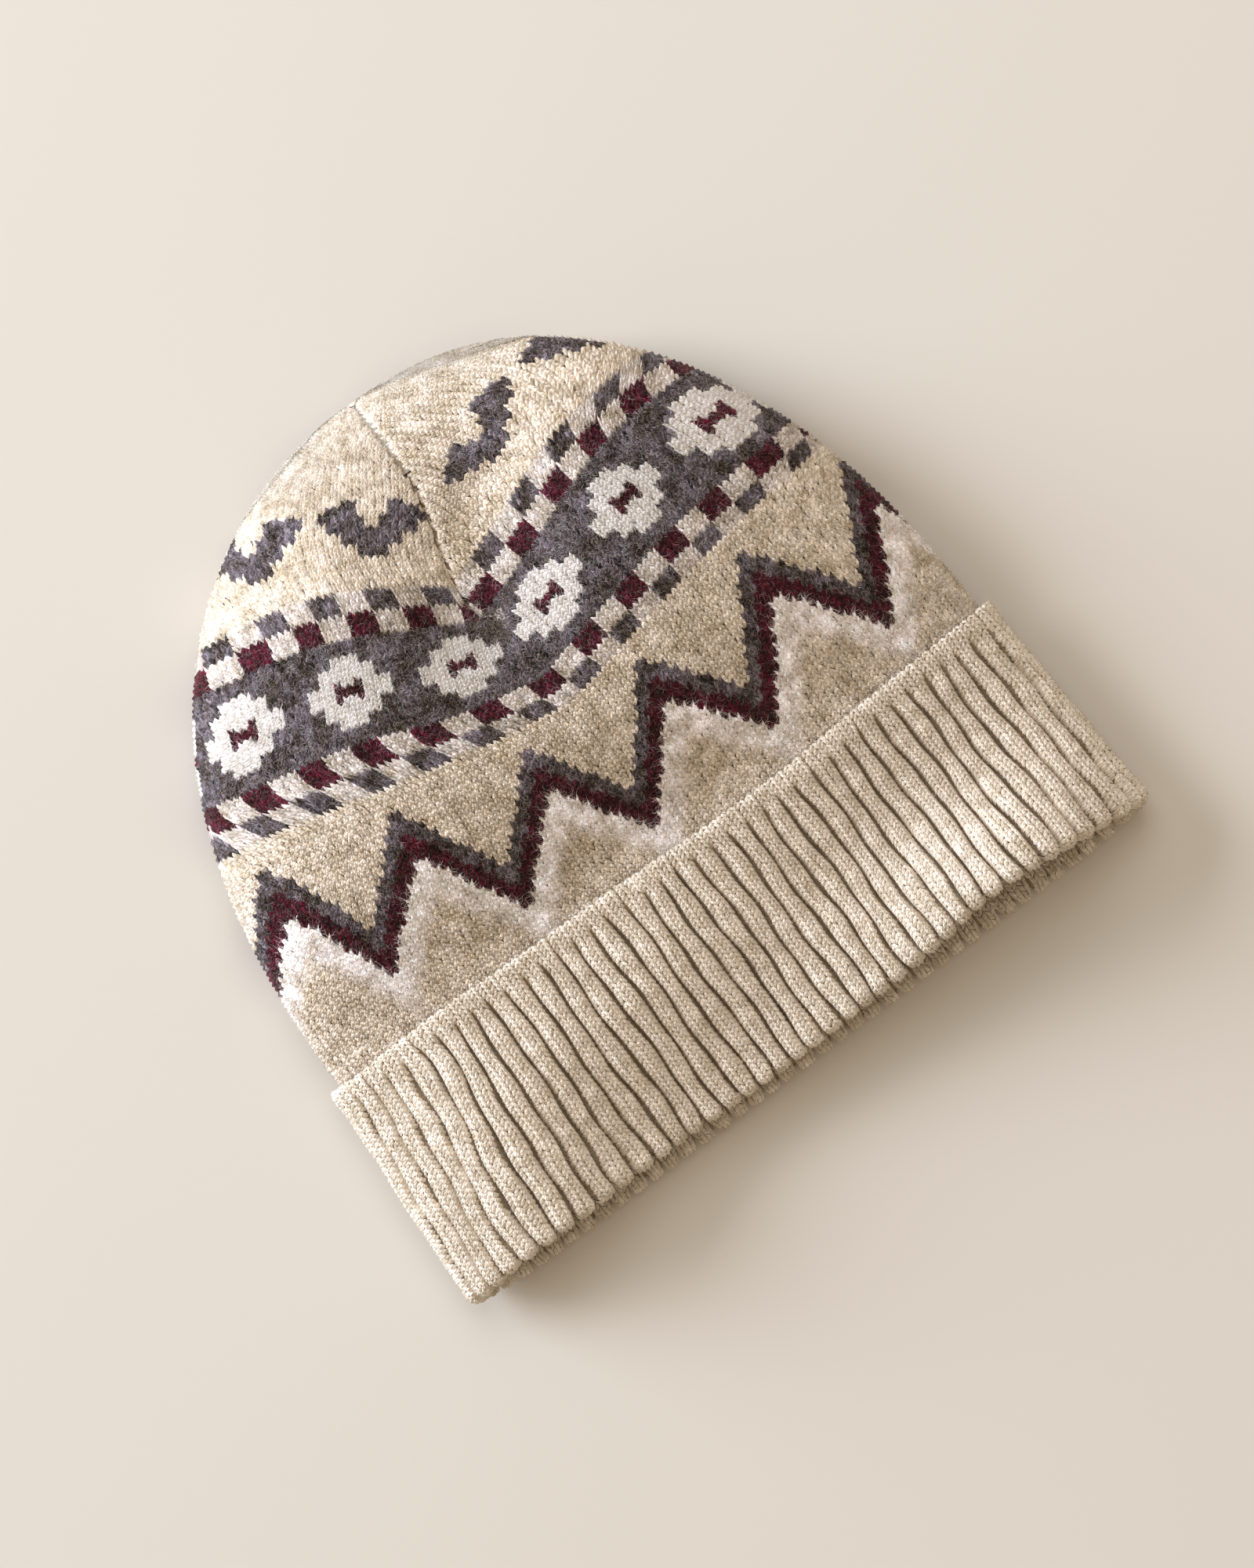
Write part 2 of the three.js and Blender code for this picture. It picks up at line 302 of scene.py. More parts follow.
# The colour as it is seen, how much one stitch differs from the next, how strongly the fibres of one
# strand differ, how often a loose fibre grows, how much paler it may be, and its greatest length.
YARNS = [
    ((218, 203, 186), 0.1, 0.34, 0.4, 0.35, 2.2),
    ((91, 80, 83), 0.38, 1.0, 1.3, 0.65, 2.2),
    ((70, 13, 28), 0.34, 0.95, 1.0, 0.35, 2.2),
    ((225, 218, 214), 0.05, 0.1, 1.3, 0.8, 2.6),
    ((207, 195, 187), 0.14, 0.4, 1.2, 0.6, 2.4),
    ((253, 243, 240), 0.12, 0.36, 1.9, 0.95, 3.6),
    ((227, 214, 199), 0.045, 0.24, 1.0, 0.5, 2.0),
]
YARN_SPREAD, YARN_FLECK, FIBRE_WEIGHT, FIBRE_PALER, FIBRE_LENGTH = np.array([row[1:] for row in YARNS]).T
YARN_TABLE = np.column_stack([[from_bytes(*row[0]) for row in YARNS], YARN_FLECK])

# ---- The pattern, charted ----

FLOWER_REPEAT = 16
FLOWER_CENTRE = 8  # columns from the middle of the front to the first flower
BAND_START = 33  # the row on which the flower band begins
# The left half of each row of the band, from its top row down, with the flower's middle at the right
# end, and how many rows are alike. The right half mirrors it: k charcoal, b burgundy, w white, l light.
BAND_CHART = (
    ["kkllllkk"] * 3
    + ["llbbbbll"] * 4
    + ["kkkkkkkk"] * 3
    + ["kkkkkkww"] * 2
    + ["kkkkwwww"] * 3
    + ["kkwwwwbw"]
    + ["kkwwwwbb"] * 2
    + ["kkwwwwbw"]
    + ["kkkkwwww"] * 3
    + ["kkkkkkww"] * 2
    + ["kkkkkkkk"] * 3
    + ["bbllllbb"] * 4
    + ["llkkkkll"] * 3
)
CHEVRON_START = 72
CHEVRON_CENTRE = 2  # column of the chevron's middle
PAST_THE_DART = 9  # columns: the front dart takes up the chevron that would lie nearer than this
# The left half of the chevron, mirrored like the band, on plain oatmeal.
CHEVRON_CHART = [
    "...kk..",
    ".kkkk..",
    "kkkkk..",
    "kkkkkk.",
    ".kkkkk.",
    ".kkkkkk",
    "...kkkk",
    "...kkkk",
    ".....kk",
    ".....kk",
]
CHART_YARNS = {"k": CHARCOAL, "b": BURGUNDY, "w": WHITE, "l": LIGHT, ".": OATMEAL}

ZIGZAG_REPEAT = 20
ZIGZAG_VALLEY = 4.0  # row of the burgundy's lower edge in a valley
ZIGZAG_RISE = 1.75  # rows climbed with each column
BURGUNDY_ROWS = 5
CHARCOAL_ROWS = 4
PALE_ROWS = 8  # the brushed pale band under the burgundy
PALE_FADE = 5.0  # rows down to where it begins to fade


def charted(half_rows):
    """The yarns of a chart, mirrored, from its lowest row up."""
    return np.array([[CHART_YARNS[mark] for mark in half + half[::-1]] for half in half_rows[::-1]])


# The chart, its first row, the column of its middle, and how far from that column it begins.
CHARTS = [
    (charted(BAND_CHART), BAND_START, FLOWER_CENTRE, 0),
    (charted(CHEVRON_CHART), CHEVRON_START, CHEVRON_CENTRE, PAST_THE_DART),
]


def yarn_at(column, row):
    """The yarn of each stitch, from whole columns and rows, and how far it has faded to oatmeal."""
    yarn = np.full(column.shape, OATMEAL)
    fade = np.zeros(column.shape)
    from_valley = (column + 0.5) % ZIGZAG_REPEAT
    from_valley = np.minimum(from_valley, ZIGZAG_REPEAT - from_valley)
    above = row - (ZIGZAG_VALLEY + ZIGZAG_RISE * (from_valley - 0.5))
    pale = (above >= -PALE_ROWS) & (above < 0)
    yarn[pale] = LAVENDER
    fade[pale] = smoothstep(-above[pale], PALE_FADE, PALE_ROWS + 1)
    yarn[(above >= 0) & (above < BURGUNDY_ROWS)] = BURGUNDY
    dark = (above >= BURGUNDY_ROWS) & (above < BURGUNDY_ROWS + CHARCOAL_ROWS)
    yarn[dark] = CHARCOAL
    for chart, start, centre, begins in CHARTS:
        place = (column - centre + chart.shape[1] // 2) % FLOWER_REPEAT
        taken = (row >= start) & (row < start + len(chart)) & (place < chart.shape[1])
        taken &= np.abs(column - centre) >= begins
        yarn[taken] = chart[row[taken] - start, place[taken]]
        fade[taken] = 0
    return yarn, fade


def yarn_colour(yarn, fade, chance):
    """Colour and fleck of each stitch. A fading stitch takes more or less oatmeal by chance."""
    fade = np.clip(fade + (chance - 0.5) * 0.5 * (fade > 0), 0, 1)
    return lerp(YARN_TABLE[yarn], YARN_TABLE[OATMEAL], fade[..., None])


def shaded(colours, light):
    """The colours made lighter or darker, with their fleck kept."""
    return np.concatenate([np.clip(colours[..., :3] * light, 0, 1), colours[..., 3:]], axis=-1)


# ---- How the rows lie on the crown ----
# Where the rows named first lie at columns 0, 12, 24, 36, 48 and 60 from the middle of the front, on
# the hat's right and left: (x, station). Past the hat's widest line x is distance round. The back
# takes the same rows from its own middle.

LIE_COLUMNS = [0, 12, 24, 36, 48, 60]
RIGHT_LIE = {
    -20: [(2, 40), (28, 41), (54, 43), (80, 45), (103, 46.5), (120, 47)],
    6: [(3, 78.4), (29, 79.7), (55, 81.7), (81, 83.5), (104, 84.8), (121, 85.5)],
    30.5: [(5.5, 113.5), (30, 118), (54, 122.5), (78.5, 126), (102.5, 128.5), (124, 129.5)],
    39: [(2, 126), (27.4, 131.6), (53, 136.7), (78, 139.6), (102, 142.5), (124, 143.2)],
    50.5: [(-0.5, 139.4), (25.5, 147.2), (50.5, 154), (74, 156.8), (97.5, 158), (121, 156.8)],
    62: [(-4.8, 152.8), (21.2, 161.2), (45.2, 169.9), (69.2, 174.4), (92, 174.2), (115, 171.5)],
    72: [(-9, 169), (18, 179.6), (46, 189.3), (75, 192.4), (97, 189.5), (116, 185)],
    82: [(-12, 180.5), (13.4, 190.4), (39.4, 203.2), (66, 205.5), (84, 201.5), (104, 195)],
    97: [(-31, 197), (-4, 206.5), (21, 214.3), (40, 213.5), (58, 207.5), (80, 200)],
    112: [(-48, 208), (-21, 216), (6, 221.5), (20, 219), (37, 213), (58, 206)],
    127: [(-60, 202), (-35, 212), (-6, 222), (8, 221.4), (25, 218), (46, 213)],
    142: [(-72, 196), (-48, 208), (-21, 216), (-6, 222), (12, 221), (32, 218)],
    157: [(-84, 190), (-60, 202), (-35, 212), (-18, 218), (-4, 222), (16, 221.5)],
}
LEFT_LIE = {
    -20: [(2, 40), (-24, 42), (-50, 45.5), (-75, 50), (-98, 53), (-118, 54.5)],
    6: [(3, 78.4), (-22, 80), (-46.5, 83.2), (-72, 88), (-95, 92), (-117, 94)],
    30.5: [(5.5, 113.4), (-17.5, 116.8), (-41.6, 121.7), (-65, 128), (-88.4, 133.5), (-112, 137.2)],
    39: [(2, 126), (-23.6, 131.9), (-48, 141), (-72, 147.1), (-95, 153), (-118.5, 156.5)],
    50.5: [(2, 139.9), (-20.6, 146.5), (-42.1, 157), (-65, 163.5), (-87.5, 168), (-110.5, 170.5)],
    62: [(4.5, 148.2), (-14.5, 160.8), (-35.5, 172.2), (-57.7, 179.8), (-82.5, 186), (-107.5, 186)],
    72: [(9, 163.5), (-11.2, 179.8), (-32.2, 192.4), (-55.5, 198.6), (-78.5, 199.3), (-102.5, 196.3)],
    82: [(18, 176), (-2.2, 193), (-25, 206), (-48, 212), (-69.5, 209.5), (-92, 205)],
    97: [(34, 194), (8, 207), (-14, 214.5), (-32, 216), (-50, 213), (-72, 209)],
    112: [(52, 206), (24, 216), (2, 221.5), (-14, 219.5), (-32, 215), (-54, 210)],
    127: [(64, 202), (40, 212), (10, 222), (-4, 221.4), (-21, 218), (-42, 213)],
    142: [(76, 196), (52, 206), (24, 216), (10, 222), (-8, 221), (-28, 218)],
    157: [(88, 190), (64, 202), (40, 212), (22, 218), (8, 222), (-12, 221.5)],
}
FIRST_ROW, LAST_ROW = -18, 156
FIRST_COLUMN, LAST_COLUMN = -6, 94
MARGIN = 2  # rows and columns of the lie past the first and last stitches
FINE = 4  # steps of the lie's own grid in each row and column
NO_SEAM = -1000.0  # stands for the inner seam's distance where there is none
SEAMED = -100.0  # the inner seam's distance is above this where there is one

# The seam of the front dart wanders sideways: x from the hat's middle line, by station.
SEAM_STATIONS = [140, 160, 172, 182, 195, 222]
SEAM_WANDER = [-2, -2.4, 0, 2.6, 4.4, 1.9]
DART_START = 150.0
DART_FADE = 24.0
DART_DEPTH = 1.4
DART_HALF_WIDTH = 1.2
SEAM_BLEND = 6.0
SIDE_DART_START = CUFF_HEIGHT + 4
SIDE_DART_FADE = 36.0
SIDE_DART_DEPTH = 1.2
SIDE_DART_HALF_WIDTH = 1.6
# How near a stitch's middle comes to a seam and to the tip, and how far it goes on under the cuff.
SEAM_ROOM = 0.3
SIDE_SEAM_ROOM = 0.2
TIP_ROOM = 0.3
UNDER_CUFF = 9.0
BACK_SPREAD = 40  # columns from the back's middle over which its rows are centred


class Panel:
    """A quarter of the crown between two darts: its rows and columns laid on the skin."""

    def __init__(self, lie, side, front):
        self.side, self.front = side, front
        self.turned = (side > 0) != front  # its columns run against the way the faces look
        rows = sorted(lie)
        table = np.array([[(side * skin.across(x, y), y) for x, y in lie[row]] for row in rows])
        self.rows = np.arange(FIRST_ROW - MARGIN, LAST_ROW + MARGIN, 1 / FINE)
        self.columns = np.arange(FIRST_COLUMN - MARGIN, LAST_COLUMN + MARGIN, 1 / FINE)
        by_row = smooth_curve(rows, table, self.rows)
        inside = smooth_curve(LIE_COLUMNS, by_row.transpose(1, 0, 2), self.columns)
        edge_low = by_row[:, 0] - by_row[:, 1]
        edge_high = by_row[:, -1] - by_row[:, -2]
        step = LIE_COLUMNS[1]
        low = (-np.minimum(self.columns, 0) / step)[:, None, None] * edge_low[None]
        high = (np.maximum(self.columns - LIE_COLUMNS[-1], 0) / step)[:, None, None] * edge_high[None]
        lie_grid = (inside + low + high).transpose(1, 0, 2)
        self.distance = lie_grid[..., 0]
        if not front:
            centre = smooth_curve(rows, table[:, 0, 0], self.rows)[:, None]
            centred = np.clip(1 - self.columns / BACK_SPREAD, 0, 1)[None]
            self.distance = self.distance - centre * centred
        self.y = np.minimum(lie_grid[..., 1], skin.stations[-1])
        girth = np.interp(self.y, skin.stations, skin.girth)
        wander = smooth_curve(SEAM_STATIONS, SEAM_WANDER, self.y) if front else 0 * self.y
        begun = smoothstep(self.y, DART_START - SEAM_BLEND, DART_START + SEAM_BLEND)
        self.inner = side * wander * begun
        self.inner = np.where(self.y > DART_START, self.inner, NO_SEAM if front else 0.0)
        self.outer = girth / 4
        self.held = np.clip(self.distance, self.inner, self.outer)
        share = self.held / girth
        self.turn = side * share if front else 0.5 - side * share
        self.points, self.normals = skin.at(self.y, self.turn)
        self.points = self.points - self.normals * self.groove()[..., None]

    def groove(self):
        """How deep the skin is drawn in along the panel's two darts."""
        drawn = smoothstep(self.y, DART_START, DART_START + DART_FADE)
        drawn_at_side = smoothstep(self.y, SIDE_DART_START, SIDE_DART_START + SIDE_DART_FADE)
        deep = DART_DEPTH * drawn * bell(self.held - self.inner, DART_HALF_WIDTH)
        at_side = bell(self.outer - self.held, SIDE_DART_HALF_WIDTH)
        return deep + SIDE_DART_DEPTH * drawn_at_side * at_side

    def read(self, grid, column, row):
        """One of the panel's grids, at any columns and rows."""
        return read_grid(grid, (row - self.rows[0]) * FINE, (column - self.columns[0]) * FINE)

    def at(self, column, row, out):
        """Points off the skin. Columns are counted outward from the panel's own middle seam."""
        place = self.read(self.points, column, row)
        normal = self.read(self.normals, column, row)
        return place + normal * np.asarray(out)[..., None]

    def stitches(self):
        """Whole rows and columns of the stitches that the seams leave."""
        rows, columns = np.meshgrid(
            np.arange(FIRST_ROW, LAST_ROW), np.arange(FIRST_COLUMN, LAST_COLUMN), indexing="ij")
        rows, columns = rows.ravel(), columns.ravel()
        grids = (self.distance, self.inner, self.outer, self.y, self.turn)
        distance, inner, outer, y, turn = (self.read(grid, columns + 0.5, rows + 0.5) for grid in grids)
        kept = np.where(inner > SEAMED, distance > inner + SEAM_ROOM, columns >= 0)
        kept &= distance < outer - SIDE_SEAM_ROOM
        kept &= y > free_edge(turn) - UNDER_CUFF
        kept &= y < skin.stations[-1] - TIP_ROOM
        return rows[kept], columns[kept]

    def chart_column(self, column):
        """The column of the chart, counted from the middle of the front."""
        from_front = column if self.front else RIB_COUNT * 3 // 2 - 1 - column
        return from_front if self.side > 0 else -1 - from_front


# ---- Mesh making ----


def add_object(name, data):
    thing = bpy.data.objects.new(name, data)
    bpy.context.scene.collection.objects.link(thing)
    return thing


def add_piece(node, name, parts, material):
    """A smooth piece of the visual hat over one of the solids, from millimetre points, triangles, a
    colour for each point and a uv for each point."""
    points, faces, colours, uvs = parts
    mesh = bpy.data.meshes.new(name)
    mesh.vertices.add(len(points))
    mesh.vertices.foreach_set("co", to_frame(points).astype(np.float32).ravel())
    mesh.loops.add(faces.size)
    mesh.loops.foreach_set("vertex_index", faces.astype(np.int32).ravel())
    mesh.polygons.add(len(faces))
    mesh.polygons.foreach_set("loop_start", np.arange(0, faces.size, 3, dtype=np.int32))
    mesh.polygons.foreach_set("use_smooth", np.ones(len(faces), dtype=bool))
    mesh.update(calc_edges=True)
    shade = mesh.color_attributes.new("yarn", "FLOAT_COLOR", "POINT")
    shade.data.foreach_set("color", colours.astype(np.float32).ravel())
    layer = mesh.uv_layers.new(name="strand")
    layer.data.foreach_set("uv", uvs[faces.ravel()].astype(np.float32).ravel())
    mesh.validate()
    mesh.materials.append(material)
    piece = add_object(name, mesh)
    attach(piece, "root")
    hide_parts(node)


def plain_colours(yarn, count, light=1.0):
    """One yarn's colour and fleck for many points or stitches."""
    return np.repeat(shaded(YARN_TABLE[yarn][None], light), count, axis=0)


# One leg of a stitch: the places of its points, along the strand and across it, and their height.
LEG_SPINE = [(0.0, 0.0, -0.7), (0.22, 0.0, 0.35), (0.52, 0.0, 0.8), (0.8, 0.0, 0.45), (1.0, 0.0, -0.7)]
LEG_SIDE = [(0.16, 0.72, -0.5), (0.52, 1.0, -0.3), (0.86, 0.72, -0.5)]
LEG_POINTS = np.array(
    LEG_SPINE + LEG_SIDE + [(along, -across, height) for along, across, height in LEG_SIDE])
# Spine points are 0 to 4, one side 5 to 7, the other 8 to 10.
LEG_FACES = np.array([
    (0, 1, 5), (1, 6, 5), (1, 2, 6), (2, 3, 6), (3, 7, 6), (3, 4, 7),
    (0, 8, 1), (1, 8, 9), (1, 9, 2), (2, 9, 3), (3, 9, 10), (3, 10, 4),
])
LEG_PLAIN_POINTS = np.array([
    (0.0, 0.0, -0.5), (0.5, 0.0, 0.75), (1.0, 0.0, -0.5), (0.5, 1.1, -0.4), (0.5, -1.1, -0.4)])
LEG_PLAIN_FACES = np.array([(0, 1, 3), (1, 2, 3), (0, 4, 1), (1, 4, 2)])
LEG_BY_FINENESS = {True: (LEG_POINTS, LEG_FACES), False: (LEG_PLAIN_POINTS, LEG_PLAIN_FACES)}
UV_SPREAD = 500.0  # how far apart the strands' uvs may start, so that no two look alike


def leg_grid(count, shape_points, half_width, puff):
    """Offsets of every leg's points: along 0 to 1, across in millimetres, out in millimetres."""
    along = np.repeat(shape_points[None, :, 0], count, axis=0)
    across = shape_points[None, :, 1] * half_width[:, None]
    out = shape_points[None, :, 2] * puff[:, None]
    return along, across, out


def repeated(shape_faces, count, each):
    """The faces of many small shapes with the same number of points each."""
    starts = (np.arange(count) * each)[:, None, None]
    return (shape_faces[None] + starts).reshape(-1, 3)


def join_legs(points, shape_faces, colours, along, across, length):
    """Points and faces of many legs as one mesh's arrays, with uvs in millimetres of strand."""
    count, each = points.shape[:2]
    faces = repeated(shape_faces, count, each)
    offset = rng.uniform(0, UV_SPREAD, (count, 1, 2))
    uvs = np.stack([across, along * length], axis=2) + offset
    return (points.reshape(-1, 3), faces, np.repeat(colours, each, axis=0), uvs.reshape(-1, 2))


def make_legs(at, foot, head, pitch, bow, half_width, puff, colours, fine, flipped):
    """Legs of stitches on a fabric, each from its foot to its head: places (u, v), with a pitch in
    millimetres for each, that the function at turns into points."""
    shape_points, shape_faces = LEG_BY_FINENESS[fine]
    along, across, out = leg_grid(len(foot), shape_points, half_width, puff)
    lean, rise = ((head - foot) * pitch).T[..., None]
    length = np.hypot(lean, rise)
    u = lerp(foot[:, :1], head[:, :1], along) + bow * np.sin(math.pi * along)
    u = u + across * rise / length / pitch[0]
    v = lerp(foot[:, 1:], head[:, 1:], along) - across * lean / length / pitch[1]
    shape_faces = shape_faces[:, ::-1] if flipped else shape_faces
    return join_legs(at(u, v, out), shape_faces, colours, along, across, length)


# ---- The crown's stitches ----

CROWN_PITCH = (2.05, 1.6)  # of columns and rows
LEG_HALF_WIDTH = 0.57
LEG_PUFF = (0.65, 1.05)
# From a stitch's middle column and first row, in columns outward and rows up.
LEG_FOOT = (-0.05, -0.45)
LEG_HEAD = (0.52, 1.4)
LEG_BOW = 0.07
LEG_JITTER = 0.08


def crown_legs(panel, rows, columns, slant):
    """The left or right legs of a panel's stitches. Slant is -1 for the leg nearer the middle."""
    count = len(rows)
    yarn, fade = yarn_at(panel.chart_column(columns), rows)
    colours = yarn_colour(yarn, fade, rng.random(count))
    colours = shaded(colours, 1 + YARN_SPREAD[yarn][:, None] * rng.normal(0, 1, (count, 1)))
    puff = rng.uniform(*LEG_PUFF, count)
    half_width = LEG_HALF_WIDTH * rng.uniform(0.85, 1.15, count)
    foot, head = (
        np.stack([columns + 0.5 + slant * aside, rows + up], axis=1) for aside, up in (LEG_FOOT, LEG_HEAD))
    foot += rng.normal(0, LEG_JITTER, foot.shape)
    head += rng.normal(0, LEG_JITTER, head.shape)
    return make_legs(
        panel.at, foot, head, CROWN_PITCH, slant * LEG_BOW, half_width, puff, colours,
        fine=panel.front, flipped=panel.turned)


def stack(parts):
    """Several (points, faces, colours, uvs) as one."""
    points, faces, colours, uvs = zip(*parts)
    starts = np.cumsum([0] + [len(part_points) for part_points in points[:-1]])
    faces = [part_faces + start for part_faces, start in zip(faces, starts)]
    return tuple(np.concatenate(group) for group in (points, faces, colours, uvs))


# ---- Materials ----

def add_node(tree, kind, place, inputs, **values):
    """A node with its settings. Each input takes a number or is linked to another node's output."""
    node = tree.nodes.new("ShaderNode" + kind)
    node.location = place
    for key, value in values.items():
        setattr(node, key, value)
    for key, value in inputs.items():
        if isinstance(value, bpy.types.NodeSocket):
            tree.links.new(value, node.inputs[key])
        else:
            node.inputs[key].default_value = value
    return node


def noise_node(tree, place, vector, scale, detail, roughness=0.5):
    node = add_node(tree, "TexNoise", place, {
        "Vector": vector, "Scale": scale, "Detail": detail, "Roughness": roughness})
    return node.outputs["Fac"]


def fibre_streaks(tree, strand, height, angle, scale):
    """Noise drawn out into fibres at an angle to the strand."""
    at = add_node(tree, "Mapping", (-1100, height), {
        "Vector": strand, "Scale": scale, "Rotation": (0, 0, angle)})
    return noise_node(tree, (-900, height), at.outputs["Vector"], 1.0, 3.0, 0.65)


def math_node(tree, operation, place, first, second):
    node = add_node(tree, "Math", place, {0: first, 1: second}, operation=operation)
    return node.outputs["Value"]


def ranged(tree, place, value, low, high, to_low, to_high):
    node = add_node(tree, "MapRange", place, {
        "Value": value, "From Min": low, "From Max": high, "To Min": to_low, "To Max": to_high})
    return node.outputs["Result"]


def wool_material(name, depth, sheen):
    """Brushed wool. Its colour comes from the yarn attribute, streaked with paler and darker fibres as
    strongly as the attribute's fourth value says, and its bump from the plies' twist and the fibres."""
    material = bpy.data.materials.new(name)
    material.use_nodes = True
    tree = material.node_tree
    tree.nodes.clear()
    yarn = add_node(tree, "Attribute", (-900, 400), {}, attribute_name="yarn")
    strand = add_node(tree, "UVMap", (-1300, -200), {}, uv_map="strand").outputs["UV"]
    place = add_node(tree, "TexCoord", (-1300, 200), {}).outputs["Object"]
    one_way = fibre_streaks(tree, strand, 0, 0.35, (3.6, 0.7, 1.0))
    other_way = fibre_streaks(tree, strand, -200, -0.45, (4.4, 0.8, 1.0))
    small_clouds = noise_node(tree, (-900, 200), place, 300.0, 4.0)
    large_clouds = noise_node(tree, (-900, 400), place, 190.0, 4.0)

    crossed = math_node(tree, "ADD", (-700, -100), one_way, other_way)
    fibre = ranged(tree, (-550, -100), crossed, 0.78, 1.22, -1.0, 1.0)
    felted = ranged(tree, (-550, 400), large_clouds, 0.35, 0.65, -0.55, 0.55)
    heather = math_node(tree, "ADD", (-450, 100), fibre, felted)
    flecked = math_node(tree, "MULTIPLY", (-400, 0), heather, yarn.outputs["Alpha"])
    light = math_node(tree, "ADD", (-250, 0), flecked, 1.0)
    mottled = ranged(tree, (-550, 200), small_clouds, 0.35, 0.65, 0.92, 1.08)
    light = math_node(tree, "MULTIPLY", (-100, 100), light, mottled)
    change = math_node(tree, "SUBTRACT", (0, 100), light, 1.0)
    # What is darker is browner: the darker fibres are the yarn's own heather, and their browner hue is
    # painted shade within the wool.
    browner = add_node(tree, "VectorMath", (100, 100), {
        0: (0.95, 1.1, 1.4), "Scale": change}, operation="SCALE")
    coloured = add_node(tree, "VectorMath", (300, 200), {
        0: browner.outputs["Vector"], 1: yarn.outputs["Color"], 2: yarn.outputs["Color"],
    }, operation="MULTIPLY_ADD")

    plies_at = add_node(tree, "Mapping", (-1100, -500), {
        "Vector": strand, "Rotation": (0, 0, 0.6)})
    plies = add_node(tree, "TexWave", (-900, -500), {
        "Vector": plies_at.outputs["Vector"], "Scale": 0.5, "Distortion": 2.0, "Detail": 2.0,
    }, bands_direction="Y")
    height = math_node(tree, "ADD", (-400, -400), crossed, plies.outputs["Fac"])
    bump = add_node(tree, "Bump", (300, -300), {
        "Height": height, "Strength": 1.0, "Distance": depth * MM})
    shader = add_node(tree, "BsdfPrincipled", (600, 0), {
        "Base Color": coloured.outputs["Vector"], "Normal": bump.outputs["Normal"],
        "Roughness": 0.95, "Specular IOR Level": 0.15,
        "Sheen Weight": sheen, "Sheen Roughness": 0.5, "Sheen Tint": (1.0, 0.97, 0.93, 1.0),
    })
    add_node(tree, "OutputMaterial", (900, 0), {"Surface": shader.outputs["BSDF"]})
    return material


crown_wool = wool_material("crown_wool", 0.12, 0.16)
cuff_wool = wool_material("cuff_wool", 0.1, 0.16)
fibre_wool = wool_material("loose_fibres", 0.02, 0.3)


# ---- Crown pieces ----

panels = {
    "front_right": Panel(RIGHT_LIE, 1, True),
    "front_left": Panel(LEFT_LIE, -1, True),
    "back_right": Panel(RIGHT_LIE, 1, False),
    "back_left": Panel(LEFT_LIE, -1, False),
}


def make_crown_panel(name, panel):
    rows, columns = panel.stitches()
    parts = [crown_legs(panel, rows, columns, slant) for slant in (-1, 1)]
    add_piece("crown", f"crown_{name}", stack(parts), crown_wool)


def grid_quads(rows, columns, closed):
    """Corners of the squares between rows of points, each row closed round the hat or not."""
    i, j = np.meshgrid(np.arange(rows - 1), np.arange(columns - (not closed)), indexing="ij")
    a = i * columns + j
    b = i * columns + (j + 1) % columns
    return np.stack([a, b, b + columns, a + columns], axis=-1).reshape(-1, 4)


def halved(quads):
    """Squares as triangles."""
    return np.concatenate([quads[:, [0, 1, 2]], quads[:, [0, 2, 3]]])


BACKING_OUT = -0.8
# painted shade: how much darker the crown's backing is painted than its yarns
BACKING_PAINTED_SHADE = 0.45
BACKING_OVERLAP = 4.2  # how far the backing goes on past a seam
SMALLEST_FACE = 1e-4  # twice the area, in square millimetres, of the smallest face that is kept
UV_ROUND = 490.0  # millimetres of uv in a whole turn
BACKING_STEP = 2  # rows and columns of the backing's own grid
PAINTED_SHADE_TINT = np.array([1.0, 0.86, 0.68])  # tint of the painted shade on the backings: browner, as light that has been through the wool is


def make_backing():
    """The fabric between the strands: a skin just under them, in the pattern's own colours darkened and
    browned as painted shade between the strands.
    """
    parts = []
    for panel in panels.values():
        rows = np.arange(FIRST_ROW, LAST_ROW + 1, BACKING_STEP)
        columns = np.arange(FIRST_COLUMN, LAST_COLUMN, BACKING_STEP)
        row, column = np.meshgrid(rows, columns, indexing="ij")
        place = column.astype(float), row.astype(float)
        points = panel.at(*place, np.full(row.shape, BACKING_OUT))
        yarn, fade = yarn_at(panel.chart_column(column), row)
        # painted shade: the pattern's colours darkened and browned, for the shade between the strands
        colours = shaded(yarn_colour(yarn, fade, np.full(row.shape, 0.5)), BACKING_PAINTED_SHADE * PAINTED_SHADE_TINT)
        inner, distance, outer = (
            panel.read(grid, *place) for grid in (panel.inner, panel.distance, panel.outer))
        keep_point = (distance > inner - BACKING_OVERLAP) & (distance < outer + BACKING_OVERLAP)
        keep_point &= (inner > SEAMED) | (column >= 0)
        quads = grid_quads(*row.shape, closed=False)
        faces = halved(quads[keep_point.ravel()[quads].all(axis=1)])
        points = points.reshape(-1, 3)
        faces = faces[:, ::-1] if panel.turned else faces
        first, second, third = points[faces].transpose(1, 0, 2)
        doubled_area = np.linalg.norm(np.cross(second - first, third - first), axis=1)
        faces = faces[doubled_area > SMALLEST_FACE]
        uvs = (np.stack([column, row], axis=-1) * CROWN_PITCH).reshape(-1, 2)
        parts.append((points, faces, colours.reshape(-1, 4), uvs))
    add_piece("crown", "crown_backing", stack(parts), crown_wool)


def layer_rings(y, turns, depth):
    """Points, faces and uvs of a plain layer under the skin, with a ring for each row of stations."""
    place, normal = skin.at(y, turns)
    uvs = np.stack([turns.ravel() * UV_ROUND, y.ravel()], axis=1)
    return (place - normal * depth).reshape(-1, 3), halved(grid_quads(*y.shape, closed=True)), uvs


LAYER_RINGS = 36
LAYER_TURNS = np.linspace(0, 1, 96, endpoint=False)
INSIDE_START = 0.6  # of the way from the fold to the free edge
END_BACKING_START = 196.0
END_BACKING_DEPTH = 1.1


